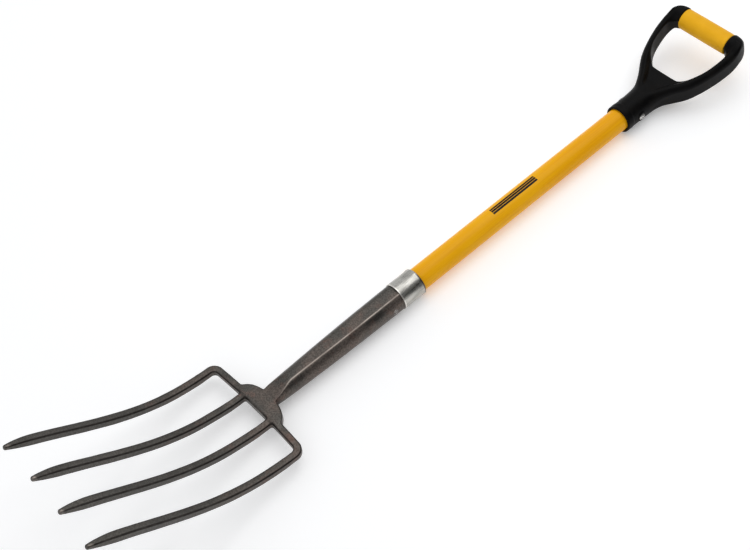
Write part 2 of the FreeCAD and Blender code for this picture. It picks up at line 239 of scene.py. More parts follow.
def even_out(points, quads, field, rounds=3):
    """Spaces the points of a net more evenly along its surface, leaving open ends alone."""
    edges = np.concatenate([quads[:, [i, (i + 1) % 4]] for i in range(4)])
    edges.sort(axis=1)
    edges, uses = np.unique(edges, axis=0, return_counts=True)
    open_end = np.zeros(len(points), bool)
    open_end[edges[uses == 1].ravel()] = True
    neighbours = np.bincount(edges.ravel(), minlength=len(points))
    for _ in range(rounds):
        mean = np.zeros_like(points)
        for axis in range(3):
            sums = np.bincount(edges[:, 0], points[edges[:, 1], axis], len(points))
            sums += np.bincount(edges[:, 1], points[edges[:, 0], axis], len(points))
            mean[:, axis] = sums / neighbours
        mean[open_end] = points[open_end]
        points = settle(points * 0.5 + mean * 0.5, field, 2)
    return points


def surface_net(field, axes, place):
    """Quads over the surface where a field is zero, one corner in each crossed cell of a lattice.

    The axes are the lattice's three rows of stops, and place() puts lattice points in the field's space."""
    points = place(np.stack(np.meshgrid(*axes, indexing="ij"), -1))
    value = field(points)
    inside = value < 0
    cells = np.array(value.shape) - 1
    owners, crossings, quads = [], [], []
    for axis in range(3):
        step = np.zeros(3, int)
        step[axis] = 1
        low_end = tuple(slice(0, n - s) for n, s in zip(value.shape, step))
        high_end = tuple(slice(s, n) for n, s in zip(value.shape, step))
        start = np.argwhere(inside[low_end] != inside[high_end])
        first = tuple(start.T)
        second = tuple((start + step).T)
        share = (value[first] / (value[first] - value[second]))[:, None]
        crossing = points[first] * (1 - share) + points[second] * share
        ring, whole = [], np.ones(len(start), bool)
        for back in ((0, 0), (1, 0), (1, 1), (0, 1)):
            cell = start.copy()
            cell[:, (axis + 1) % 3] -= back[0]
            cell[:, (axis + 2) % 3] -= back[1]
            real = ((cell >= 0) & (cell < cells)).all(1)
            flat = np.where(real, (cell[:, 0] * cells[1] + cell[:, 1]) * cells[2] + cell[:, 2], -1)
            owners.append(flat[real])
            crossings.append(crossing[real])
            ring.append(flat)
            whole &= real
        ring = np.stack(ring, -1)
        ring[~inside[first]] = ring[~inside[first], ::-1]
        quads.append(ring[whole])
    used, corner = np.unique(np.concatenate(owners), return_inverse=True)
    crossings = np.concatenate(crossings)
    counts = np.bincount(corner)
    means = np.stack([np.bincount(corner, crossings[:, i]) / counts for i in range(3)], -1)
    quads = np.searchsorted(used, np.concatenate(quads))
    return even_out(settle(means, field), quads, field), quads


def tube_faces(rows, ring, closed_end=False):
    """Quads between rows of ring points, with an optional face over the last row."""
    faces = []
    for row in range(rows - 1):
        for i in range(ring):
            j = (i + 1) % ring
            faces.append((row * ring + i, row * ring + j, (row + 1) * ring + j, (row + 1) * ring + i))
    if closed_end:
        faces.append(tuple((rows - 1) * ring + i for i in range(ring)))
    return faces


def add_part(bm, points, faces):
    """Adds points and faces to a bmesh and returns the new faces' open edges."""
    verts = [bm.verts.new(p) for p in points]
    made = [bm.faces.new([verts[i] for i in face]) for face in faces]
    return {edge for face in made for edge in face.edges if edge.is_boundary}


def finish_piece(bm, name, material, nodes, sharp_deg=40):
    """Object in metres from a bmesh in millimetres, riding on the fork in place of its CAD nodes."""
    bmesh.ops.recalc_face_normals(bm, faces=bm.faces)
    mesh = bpy.data.meshes.new(name)
    bm.to_mesh(mesh)
    bm.free()
    mesh.transform(Matrix.Scale(MM, 4))
    mesh.polygons.foreach_set("use_smooth", [True] * len(mesh.polygons))
    mesh.set_sharp_from_angle(angle=math.radians(sharp_deg))
    mesh.materials.append(material)
    piece = bpy.data.objects.new(name, mesh)
    bpy.context.scene.collection.objects.link(piece)
    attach(piece, "root")
    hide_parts(*nodes)
    return piece


def arc(centre, radius, start_deg, end_deg, steps=6):
    """Profile points on an arc: along the axis, out from it."""
    angles = np.radians(np.linspace(start_deg, end_deg, steps + 1))
    return [(centre[0] + radius * math.cos(a), centre[1] + radius * math.sin(a)) for a in angles]


def lathe(bm, profile, origin, axis, segments=96):
    """Turns a profile of (along, radius) about an axis; points on the axis close its ends."""
    axis = Vector(axis)
    side = axis.orthogonal().normalized()
    other = axis.cross(side)
    rows = []
    for along, radius in profile:
        centre = Vector(origin) + axis * along
        if radius < 1e-6:
            rows.append([bm.verts.new(centre)])
            continue
        angles = [2 * math.pi * i / segments for i in range(segments)]
        spokes = [side * math.cos(a) + other * math.sin(a) for a in angles]
        rows.append([bm.verts.new(centre + spoke * radius) for spoke in spokes])
    for low, high in zip(rows, rows[1:]):
        for i in range(segments):
            j = (i + 1) % segments
            face = [low[i % len(low)], low[j % len(low)], high[j % len(high)], high[i % len(high)]]
            bm.faces.new(list(dict.fromkeys(face)))


def close_ring(profile):
    return profile + [profile[0]]


# -------- forged head


def lift(station):
    """Height of a tine's centre line above the shaft axis."""
    share = np.maximum(0.0, (DISH_START_AT - station) / DISH_START_AT)
    return TIP_LIFT * share ** DISH_POWER * (1 + DISH_FULLNESS * (1 - share))


def tine_share(station):
    return np.clip((TINE_ROOT_AT - station) / TINE_ROOT_AT, 0.0, 1.0)


def tine_half_width(station):
    body = (TINE_ROOT_WIDTH + (TINE_TIP_WIDTH - TINE_ROOT_WIDTH) * tine_share(station)) / 2
    point = np.clip((POINT_LENGTH - station) / POINT_LENGTH, 0.0, 1.0)
    return body + (POINT_BLUNT_WIDTH / 2 - body) * point ** POINT_FULLNESS


def tine_x(station, root_x, tip_x):
    return root_x + (tip_x - root_x) * tine_share(station)


def head_outline(x, station):
    """Field of the head's plan: bent corners, crossbar, tines and the boss with its lobes."""
    half = tine_half_width(station)
    centre = CROSSBAR_AT + CROSSBAR_BOW * (1 - np.minimum(x / OUTER_TINE_ROOT_X, 1) ** 2)
    top = centre + CROSSBAR_WIDTH / 2
    low = centre - CROSSBAR_WIDTH / 2
    outer_x = tine_x(station, OUTER_TINE_ROOT_X, OUTER_TINE_TIP_X)
    outside = rounded_corner(x - outer_x - half, station - top, CORNER_OUTER_RADIUS)
    inside = rounded_corner(x - outer_x + half, station - low, CORNER_INNER_RADIUS)
    bar = np.maximum(outside, -inside)
    inner_x = tine_x(station, INNER_TINE_ROOT_X, INNER_TINE_TIP_X)
    inner = np.maximum(np.abs(x - inner_x) - half, station - centre)
    slope, end = math.radians(BOSS_SLOPE_DEG), math.radians(BOSS_END_DEG)
    crown = LOBE_CROWN * (((x - LOBE_MIDDLE_X) / LOBE_HALF_WIDTH) ** 2 - LOBE_CROWN_SHARE)
    lobe_top = (x - BOSS_TOP_X) * math.sin(slope) + (station - BOSS_TOP_AT) * math.cos(slope) + crown
    lobe_end = (x - BOSS_END_X) * math.sin(end) + (station - top) * math.cos(end)
    boss = np.maximum(rounded_corner(lobe_top, lobe_end, LOBE_RADIUS), low + BOSS_SETBACK - station)
    return smooth_min(smooth_min(bar, inner, TINE_FILLET), boss, BOSS_FILLET)


def head_half_depth(x, station):
    """Half the head's depth: as deep as the bar or tine is, with a swell at the boss."""
    swell_to_x, swell_from = 45, 254
    bar = np.minimum(CROSSBAR_DEPTH / 2, tine_half_width(station))
    swell = smoothstep((swell_to_x - x) / 14) * smoothstep((station - swell_from) / 6)
    return bar + (BOSS_DEPTH / 2 - bar) * swell


def socket_radius(station):
    share = (station - SOCKET_NECK_AT) / (SOCKET_MOUTH_AT - SOCKET_NECK_AT)
    return SOCKET_NECK_RADIUS + (SOCKET_MOUTH_RADIUS - SOCKET_NECK_RADIUS) * (1 - (1 - share) ** 2)


def socket_surfaces(x, station, height):
    """Distances to the socket's round skin, and to its flat front facet that runs down into the boss."""
    radius = socket_radius(station)
    fade = smoothstep((station - FACET_TOP_AT + FACET_FADE) / FACET_FADE) * FACET_LIFT * radius
    sink = smoothstep((NECK_FLAT_FROM - station) / (NECK_FLAT_FROM - NECK_FLAT_TO))
    share = FRONT_FACET_SHARE + NECK_FACET_GAIN * smoothstep((NECK_FACET_FROM - station) / NECK_FACET_RUN)
    front = share * radius + fade
    front = front + (BOSS_DEPTH / 2 - front) * sink - NECK_SLOPE * np.maximum(NECK_FLAT_TO - station, 0)
    back = radius + (TUCK_DEPTH - radius) * smoothstep((TUCK_FROM - station) / TUCK_RUN)
    depth = np.where(height > 0, radius, back)
    body = (np.hypot(x / radius, height / depth) - 1) * np.minimum(radius, depth)
    return body, height - front


def socket_field(x, station, height):
    body, front = socket_surfaces(x, station, height)
    return np.maximum(smooth_max(body, front, RIDGE_ROUNDING), CROSSBAR_AT - station)


def head_field(points):
    """The middle of the head before it is dished: plan, depth and socket together."""
    x, station, height = np.abs(points[..., 0]), points[..., 1], points[..., 2]
    plate = chamfered_corner(head_outline(x, station), np.abs(height) - head_half_depth(x, station),
                             TINE_EDGE_CHAMFER, 0.3)
    return smooth_min(plate, socket_field(x, station, height), SOCKET_FILLET)


def tine_section(half):
    """Ring of points round a square bar with cut corners, from its front right corner on."""
    cut = min(TINE_EDGE_CHAMFER, half * 0.55)
    soft, flat = 0.22, 0.9
    corner = [(half, half - cut - flat), (half, half - cut - soft)]
    corner.append((half - soft * 0.3, half - cut + soft * 0.6))
    corner += [(v, u) for u, v in reversed(corner)]
    corner = [(max(u, 0.15 * half), max(v, 0.15 * half)) for u, v in corner]
    ring = []
    for turn in range(4):
        cosine, sine = round(math.cos(turn * math.pi / 2)), round(math.sin(turn * math.pi / 2))
        ring += [(u * cosine - v * sine, u * sine + v * cosine) for u, v in corner]
    return ring


def add_tine(bm, root_x, tip_x, short):
    """Tine from the edge of the net to its blunt point, still straight."""
    body = np.linspace(HEAD_NET_LOW - 3, POINT_LENGTH + 2, 62)
    point = [POINT_LENGTH + 0.8, POINT_LENGTH, POINT_LENGTH - 0.8]
    point += list(np.linspace(POINT_LENGTH - 3, 2.4, 12))
    rows = [(station, float(tine_half_width(station))) for station in [*body, *point]]
    rows = [(station + short * (1 - station / HEAD_NET_LOW), half) for station, half in rows]
    nose = 1.5
    for angle in (20, 40, 58, 74, 86):
        turn = math.radians(angle)
        shrink = nose * (1 - math.cos(turn))
        rows.append((short + nose * (1 - math.sin(turn)), float(tine_half_width(nose)) - shrink))
    points = []
    for station, half in rows:
        centre = float(tine_x(station, root_x, tip_x))
        points += [(centre + u, station, v) for u, v in tine_section(half)]
    ring = len(points) // len(rows)
    return add_part(bm, points, tube_faces(len(rows), ring, closed_end=True))


def socket_ring(station, angles):
    """Points round the socket at one station, on its field, turning from the front."""
    across, up = np.sin(angles), np.cos(angles)
    radius = np.full(len(angles), float(socket_radius(station)))
    for _ in range(12):
        radius = radius - socket_field(np.abs(across * radius), np.full(len(angles), station), up * radius)
    return np.stack([across * radius, np.full(len(angles), station), up * radius], -1)


def round_ring(station, radius, angles):
    return np.stack([np.sin(angles) * radius, np.full(len(angles), station), np.cos(angles) * radius], -1)


def add_socket(bm):
    """Socket from the edge of the net to its mouth, and the bore that the shaft sits in."""
    ridge = math.degrees(math.acos(FRONT_FACET_SHARE))
    close = [ridge + d for d in (-6, -4, -2.6, -1.6, -0.8, 0, 0.8, 1.6, 2.6, 4, 6)]
    half = sorted([0, 5, 10, 15, 19] + close + list(range(36, 180, 4)))
    degrees = half + [180] + [360 - d for d in reversed(half) if d > 0]
    angles = np.radians(degrees)
    stations = [*np.linspace(HEAD_NET_HIGH + 2, FACET_TOP_AT - FACET_FADE, 40),
                *np.linspace(FACET_TOP_AT - FACET_FADE + 1.5, FACET_TOP_AT, 11),
                *np.linspace(FACET_TOP_AT + 4, SOCKET_MOUTH_AT - 1, 8)]
    rings = [socket_ring(station, angles) for station in stations]
    rings.append(round_ring(SOCKET_MOUTH_AT - 0.3, SOCKET_MOUTH_RADIUS - 0.15, angles))
    rings.append(round_ring(SOCKET_MOUTH_AT, SOCKET_MOUTH_RADIUS - 0.6, angles))
    rings.append(round_ring(SOCKET_MOUTH_AT, SHAFT_RADIUS + 0.03, angles))
    for share in (0.02, 0.35, 0.7, 1.0):
        station = SHAFT_TAPER_AT + (SHAFT_LOW_AT - SHAFT_TAPER_AT) * share
        radius = SHAFT_RADIUS + (SHAFT_LOW_RADIUS - SHAFT_RADIUS) * share + 0.03
        rings.append(round_ring(station, radius, angles))
    return add_part(bm, np.concatenate(rings), tube_faces(len(rings), len(angles), closed_end=True))


def near(edges, x, station):
    """Open edges around one place."""
    starts = [(edge, edge.verts[0].co) for edge in edges]
    return [edge for edge, start in starts if abs(start.x - x) < 20 and abs(start.y - station) < 2.5]


def spot(across, along, spread):
    """1 at a place, fading round it."""
    return np.exp(-(across ** 2 + along ** 2) / spread)


def mark_edges(bm):
    """Stores on the points the painted shade of the cut corners, tine edges, crotches and pockets, and the
    painted highlight on the ridges and the worn tips.
    """
    left_ridge, right_ridge, ridge_width = 0.1, 0.9, 0.3
    crotch_offset, crotch_drop = 6.5, 2.0
    pocket_x, pocket_at, pocket_top = 14.5, 281.0, 7.5
    tip_side, tip_at = 1.3, 4.4
    places = np.array([vert.co for vert in bm.verts])
    x, station, height = np.abs(places[:, 0]), places[:, 1], places[:, 2]
    half = tine_half_width(station)
    plan = head_outline(x, station)
    depth = np.abs(height) - head_half_depth(x, station)
    # painted shade: the chamfers, the tines' left edges, the crotches between the tines and the pocket at the
    # neck are darkened
    painted_shade = smoothstep((np.minimum(plan, depth) + TINE_EDGE_CHAMFER + 0.7) / 0.9)
    near_plate = 1 - smoothstep((np.maximum(np.abs(plan), np.abs(depth)) - 1.9) / 0.8)
    off_socket = smoothstep((socket_field(x, station, height) - 1.0) / 2.0)
    around, front = socket_surfaces(x, station, height)
    # painted highlight along the socket's ridge, fading towards the neck and strong on the right side only
    ridge_highlight = np.exp(-((around - front) / ridge_width) ** 2) * smoothstep((station - NECK_FLAT_TO) / 40)
    side = np.sign(places[:, 0])
    outer = x > (INNER_TINE_ROOT_X + OUTER_TINE_ROOT_X) / 2
    centre = np.where(outer, tine_x(station, OUTER_TINE_ROOT_X, OUTER_TINE_TIP_X),
                      tine_x(station, INNER_TINE_ROOT_X, INNER_TINE_TIP_X))
    left = side * centre - places[:, 0]
    on_left = smoothstep((left - half + 3.0) / 1.4) * smoothstep((TINE_ROOT_AT - station) / 10)
    root = CROSSBAR_AT + CROSSBAR_BOW - CROSSBAR_WIDTH / 2 - crotch_drop
    crotch = spot(np.abs(x - INNER_TINE_ROOT_X) - crotch_offset, station - root, 14.0)
    painted_shade = np.maximum(np.maximum(painted_shade, on_left), 1.4 * crotch) * near_plate * off_socket
    pocket = spot(x - pocket_x, station - pocket_at, 14.0) * smoothstep((pocket_top - height) / 2)
    painted_shade = np.minimum(np.maximum(painted_shade, pocket), 1.0)
    # painted highlight on a spot beside each worn point
    worn_tip_highlight = 1.2 * spot(left + tip_side, station - tip_at, 1.8)
    ridge_highlight = np.maximum(ridge_highlight * np.where(side > 0, right_ridge, left_ridge), worn_tip_highlight)
    shade_layer = bm.verts.layers.float.new(SHADE_MARK)
    highlight_layer = bm.verts.layers.float.new(HIGHLIGHT_MARK)
    for vert, corner, ridge in zip(bm.verts, painted_shade, ridge_highlight):
        vert[shade_layer] = float(corner)
        vert[highlight_layer] = float(ridge)


def forged(point):
    """Small squareness errors of the forging, strongest at the crossbar."""
    low, high, lobe_end_x = 205, 290, 62
    at_bar = float(smoothstep((point.y - low) / 45) * smoothstep((high - point.y) / 20))
    lobes = float(smoothstep((lobe_end_x - abs(point.x)) / 24))
    side = max(-1.0, min(1.0, point.x / OUTER_TINE_ROOT_X))
    return point + Vector((HEAD_DRIFT + LOBE_DRIFT * lobes, HEAD_SKEW * side, 0)) * at_bar


def dish(point):
    """Bends the straight head into its dished shape, in the part's own frame."""
    station = point.y
    angle = math.atan2(float(lift(station) - lift(station + 0.5)), 0.5)
    height = AXIS_HEIGHT + float(lift(station)) + point.z * math.cos(angle)
    return Vector((point.x, y_of(station) + point.z * math.sin(angle), height))


def hammer(bm, depth, wavelength):
    """Slight unevenness of a forged surface."""
    bm.normal_update()
    shifts = []
    for vert in bm.verts:
        broad = noise.noise(vert.co / wavelength)
        fine = noise.noise(vert.co / (wavelength * 0.35) + Vector((7, 3, 1)))
        shifts.append(vert.normal * depth * (broad + 0.4 * fine - 0.6))
    for vert, shift in zip(bm.verts, shifts):
        vert.co += shift


def make_head(material):
    bm = bmesh.new()
    half_width = OUTER_TINE_ROOT_X + TINE_ROOT_WIDTH / 2 + 1.5
    axes = [np.arange(-half_width, half_width, HEAD_PITCH),
            np.arange(HEAD_NET_LOW, HEAD_NET_HIGH, HEAD_PITCH),
            np.arange(-SOCKET_MOUTH_RADIUS, SOCKET_MOUTH_RADIUS, HEAD_PITCH)]
    points, quads = surface_net(head_field, axes, lambda lattice: lattice)
    rim = add_part(bm, points, quads.tolist())
    places = []
    for side in (-1, 1):
        for root_x, tip_x, short in ((OUTER_TINE_ROOT_X, OUTER_TINE_TIP_X, OUTER_POINT_SHORT),
                                     (INNER_TINE_ROOT_X, INNER_TINE_TIP_X, INNER_POINT_SHORT)):
            rim |= add_tine(bm, side * root_x, side * tip_x, short)
            places.append((side * root_x, HEAD_NET_LOW - 1.5))
    rim |= add_socket(bm)
    places.append((0, HEAD_NET_HIGH))
    for x, station in places:
        bmesh.ops.bridge_loops(bm, edges=near(rim, x, station))
    mark_edges(bm)
    for vert in bm.verts:
        vert.co = dish(forged(vert.co))
    hammer(bm, FORGED_UNEVENNESS, FORGED_WAVELENGTH)
    nodes = ["socket", "shoulder"] + [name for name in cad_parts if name.startswith("tine_")]
    return finish_piece(bm, "forged_head", material, nodes)


# -------- D handle


def spline_through(outline, steps=10):
    """Smooth curve through outline points."""
    points = [2 * np.array(outline[0]) - outline[1]] + [np.array(p) for p in outline]
    points.append(2 * points[-1] - points[-2])
    curve = []
    for before, start, end, after in zip(points, points[1:], points[2:], points[3:]):
        for share in np.linspace(0, 1, steps, endpoint=False):
            bend = share * (end - before) + share ** 2 * (2 * before - 5 * start + 4 * end - after)
            bend += share ** 3 * (3 * start - before - 3 * end + after)
            curve.append(start + bend / 2)
    return curve + [points[-2]]


class OutlineField:
    """Signed distance to a closed outline, negative inside, looked up in an even table."""

    pitch = 0.5
    low = np.array([-2.0, -45.0])
    high = np.array([70.0, 185.0])

    def __init__(self, outline):
        start = np.array(outline)
        end = np.roll(start, -1, axis=0)
        stops = [np.arange(self.low[i], self.high[i], self.pitch) for i in (0, 1)]
        points = np.stack(np.meshgrid(*stops, indexing="ij"), -1)
        nearest = np.full(points.shape[:2], np.inf)
        inside = np.zeros(points.shape[:2], bool)
        for a, b in zip(start, end):
            run = b - a
            share = np.clip(((points - a) @ run) / (run @ run), 0, 1)
            nearest = np.minimum(nearest, np.linalg.norm(points - a - share[..., None] * run, axis=-1))
            if a[1] != b[1]:
                crosses = (a[1] > points[..., 1]) != (b[1] > points[..., 1])
                at_x = a[0] + (points[..., 1] - a[1]) * run[0] / run[1]
                inside ^= crosses & (points[..., 0] < at_x)
        self.table = np.where(inside, -nearest, nearest)

    def __call__(self, x, reach):
        place = np.stack([x, reach], -1)
        spot = np.clip((place - self.low) / self.pitch, 0, np.array(self.table.shape) - 1.001)
        cell = spot.astype(int)
        share = spot - cell
        i, j = cell[..., 0], cell[..., 1]
        near_row = self.table[i, j] * (1 - share[..., 1]) + self.table[i, j + 1] * share[..., 1]
        far_row = self.table[i + 1, j] * (1 - share[..., 1]) + self.table[i + 1, j + 1] * share[..., 1]
        return near_row * (1 - share[..., 0]) + far_row * share[..., 0]


def handle_outlines():
    """Fields of the D's outside and of all that is open inside it."""
    wide = -80.0
    outer = [(wide, -35.0), (15.0, -35.0)] + spline_through(D_OUTER) + [(wide, D_OUTER[-1][1])]
    seat = SLEEVE_HALF_LENGTH + 0.05
    opening = [(wide, D_OPENING[0][1])] + spline_through(D_OPENING)
    opening += [(seat, D_OPENING[-1][1] + 1), (seat, 180.0), (wide, 180.0)]
    return OutlineField(outer), OutlineField(opening)


OUTSIDE, OPEN = handle_outlines()


def lean(points):
    """Reach along the leaning plane of the D, and distance off it, of points in the part's frame."""
    along = points[..., 1] - y_of(GRIP_BEND_AT)
    up = points[..., 2] - AXIS_HEIGHT
    reach = along * math.cos(GRIP_LEAN) + up * math.sin(GRIP_LEAN)
    return reach, up * math.cos(GRIP_LEAN) - smooth_max(along, 0.0, 8.0) * math.sin(GRIP_LEAN)


def arm_field(x, reach, off, plan):
    """The D: strap arms round the hand opening, the dished web, and the barrels that hold the grip."""
    grown = smoothstep((reach + 6) / 62)
    throat = 1 - smoothstep((reach + 6) / 46)
    ending = smoothstep((reach - GRIP_BAR_REACH + 30) / 30)
    dip = WEB_DISH * smoothstep((-plan - 8.5) / 7) * smoothstep((reach - 6) / 30)
    behind = ARM_BACK + ARM_FLARE * np.clip(1 + plan / 12, 0, 1)
    behind = behind + THROAT_BACK * (1 - smoothstep((reach - 40) / 25))
    barrel = np.hypot(reach - GRIP_BAR_REACH, off) - ARM_END_RADIUS
    faces = []
    for grown_depth, height in ((ARM_FRONT, off), (behind, -off)):
        depth = THROAT_DEPTH + (grown_depth - THROAT_DEPTH) * grown
        depth = depth + (ARM_END_RADIUS - 1 - depth) * ending - dip
        faces.append(smooth_min(np.maximum(height - depth, reach - GRIP_BAR_REACH), barrel, 4.0))
    front, back = faces
    front_rounding = ARM_FRONT_ROUNDING + (THROAT_ROUNDING - ARM_FRONT_ROUNDING) * throat
    front_rounding = front_rounding + (ARM_END_ROUNDING - ARM_FRONT_ROUNDING) * ending
    back_rounding = ARM_BACK_ROUNDING + (THROAT_ROUNDING - ARM_BACK_ROUNDING) * throat
    outer = np.maximum(rounded_corner(plan, front, front_rounding), rounded_corner(plan, back, back_rounding))
    return np.maximum(outer, rounded_corner(-OPEN(x, reach), np.maximum(front, back), ARM_OPENING_ROUNDING))


def handle_field(points):
    """Moulded yoke: socket tube and D, bored for the shaft and the grip bar."""
    x = np.abs(points[..., 0])
    station = points[..., 1] + OVERALL_LENGTH / 2
    up = points[..., 2] - AXIS_HEIGHT
    radial = np.hypot(x, up)
    reach, off = lean(points)
    plan = OUTSIDE(np.abs(points[..., 0] - D_DRIFT * smoothstep((reach - D_DRIFT_FROM) / 28)), reach)
    arms = arm_field(x, reach, off, plan)
    start = NARROWING_FROM + (NARROWING_FROM_BACK - NARROWING_FROM) * smoothstep(-up / 8)
    slim = smoothstep((station - start) / (NARROWING_TO - start))
    in_rim = smoothstep((GRIP_MOUTH_AT + GRIP_RIM_LENGTH - station) / 1.6)
    rim = (GRIP_RIM_RADIUS - GRIP_SOCKET_RADIUS) * in_rim
    tube = rounded_corner(radial - GRIP_SOCKET_RADIUS - rim + NARROWING * slim, GRIP_MOUTH_AT - station, 1.6)
    tube = np.maximum(tube, station - GRIP_SOCKET_END_AT)
    pad = np.maximum(np.hypot(station - GRIP_RIVET_AT, up) - RIVET_PAD_RADIUS, x - GRIP_SOCKET_RADIUS - 0.5)
    body = smooth_min(smooth_min(tube, arms, 6.0), pad, 1.5)
    body = smooth_max(body, 0.05 - points[..., 2], 0.6)
    flare = 1.3 * smoothstep((GRIP_MOUTH_AT + 3 - station) / 3)
    bore = np.maximum(radial - SHAFT_RADIUS - 0.1 - flare, station - SHAFT_TOP_AT)
    from_bar = np.hypot(reach - GRIP_BAR_REACH, off)
    bar_hole = np.maximum(from_bar - GRIP_BAR_RADIUS, x - SLEEVE_HALF_LENGTH - GRIP_BAR_SPIGOT)
    return smooth_max(body, -np.minimum(bore, bar_hole), 0.7)


def lean_lattice(lattice):
    """Bends a level lattice so that its layers follow the leaning D."""
    past_bend = np.maximum(lattice[..., 1] - y_of(GRIP_BEND_AT), 0.0)
    placed = lattice.copy()
    placed[..., 2] += AXIS_HEIGHT + past_bend * math.tan(GRIP_LEAN)
    return placed


def make_handle(material):
    bm = bmesh.new()
    half_width = max(x for x, reach in D_OUTER) + D_DRIFT + 4
    axes = [np.arange(-half_width, half_width, HANDLE_PITCH),
            np.arange(y_of(GRIP_MOUTH_AT) - 2.5, y_of(OVERALL_LENGTH) + 6, HANDLE_PITCH),
            np.arange(-GRIP_RIM_RADIUS - 7.4, GRIP_RIM_RADIUS + 3, HANDLE_PITCH)]
    points, quads = surface_net(handle_field, axes, lean_lattice)
    add_part(bm, points, quads.tolist())
    return finish_piece(bm, "d_handle", material, ["handle_yoke"])


# -------- turned pieces


def shaft_point(station):
    return Vector((0, y_of(station), AXIS_HEIGHT))


def grip_centre():
    reach = GRIP_BAR_REACH
    return shaft_point(GRIP_BEND_AT) + Vector((0, reach * math.cos(GRIP_LEAN), reach * math.sin(GRIP_LEAN)))


def make_collar(material):
    """Plated ring with a soft lower rim, a slight waist and a rolled upper lip."""
    bm = bmesh.new()
    length = COLLAR_HIGH[1] - COLLAR_LOW[1]
    radius, bore = COLLAR_RADIUS, SHAFT_RADIUS + 0.35
    inner = SOCKET_MOUTH_RADIUS + 0.05
    seat = SOCKET_MOUTH_AT - (COLLAR_LOW[1] + OVERALL_LENGTH / 2) + 0.2
    lip = 2.1
    profile = [(0.0, inner), (0.0, radius - 0.45)]
    profile += arc((0.4, radius - 0.4), 0.4, 180, 90, 4)
    profile += [(1.6, radius), (2.3, radius - 0.2), (length * 0.5, radius - 0.45)]
    profile += [(length - 8.5, radius - 0.5), (length - 7, radius - 0.44)]
    profile += [(length - 5.5, radius - 0.25), (length - 4, radius - 0.05)]
    profile += arc((length - lip, radius - lip), lip, 90, 0, 10)
    profile += [(length - 0.5, radius - lip - 0.35), (length - 6, bore), (seat, bore), (seat, inner)]
    lathe(bm, close_ring(profile), (0, COLLAR_LOW[1], AXIS_HEIGHT), (0, 1, 0), 128)
    return finish_piece(bm, "collar_ring", material, ["collar"])


def make_sleeve(material):
    """Yellow grip with rounded rims and a very slight swell in the middle."""
    bm = bmesh.new()
    half, radius, rim = SLEEVE_HALF_LENGTH - 0.05, SLEEVE_RADIUS - 0.02, 1.3
    profile = [(-half, GRIP_BAR_RADIUS)]
    profile += arc((-half + rim, radius - rim - 0.15), rim, 180, 90)
    middle = np.linspace(-half + 4, half - 4, 15)
    profile += [(along, radius - 0.15 * (along / half) ** 2) for along in middle]
    profile += arc((half - rim, radius - rim - 0.15), rim, 90, 0)
    profile += [(half, GRIP_BAR_RADIUS)]
    lathe(bm, close_ring(profile), grip_centre(), (1, 0, 0), 112)
    return finish_piece(bm, "yellow_sleeve", material, ["grip_sleeve"])


def make_jacket(material):
    """Yellow jacket: straight tube that tapers inside the forged socket."""
    bm = bmesh.new()
    origin = y_of(0)
    low, taper_end, top = SHAFT_LOW_AT, SHAFT_TAPER_AT, SHAFT_TOP_AT
    wall = 1.5
    outer = [(low, SHAFT_LOW_RADIUS), (taper_end, SHAFT_RADIUS)]
    outer += [(station, SHAFT_RADIUS) for station in np.linspace(taper_end + 10, top - 0.5, 30)]
    outer += [(top, SHAFT_RADIUS - 0.4)]
    inner = [(top, SHAFT_RADIUS - wall), (taper_end, SHAFT_RADIUS - wall), (low, SHAFT_LOW_RADIUS - wall)]
    lathe(bm, close_ring(outer + inner), (0, origin, AXIS_HEIGHT), (0, 1, 0), 112)
    return finish_piece(bm, "yellow_jacket_tube", material, ["shaft_jacket"])


def make_rivet(name, material, node, station, skin, head_radius, head_height):
    """Cross rivet: shank with a domed head and a small flange at each end."""
    bm = bmesh.new()
    shank = 3.0
    ball = (head_radius ** 2 + head_height ** 2) / (2 * head_height)
    spread = math.degrees(math.asin(head_radius / ball))
    dome = arc((skin + head_height - ball, 0), ball, spread, 0, 8)
    right = [(skin - 0.9, shank), (skin - 0.9, head_radius), (skin - 0.15, head_radius + 0.12)] + dome
    right[-1] = (right[-1][0], 0.0)
    left = [(-along, radius) for along, radius in reversed(right)]
    lathe(bm, left + right, shaft_point(station), (1, 0, 0), 48)
    return finish_piece(bm, name, material, [node])


# -------- materials


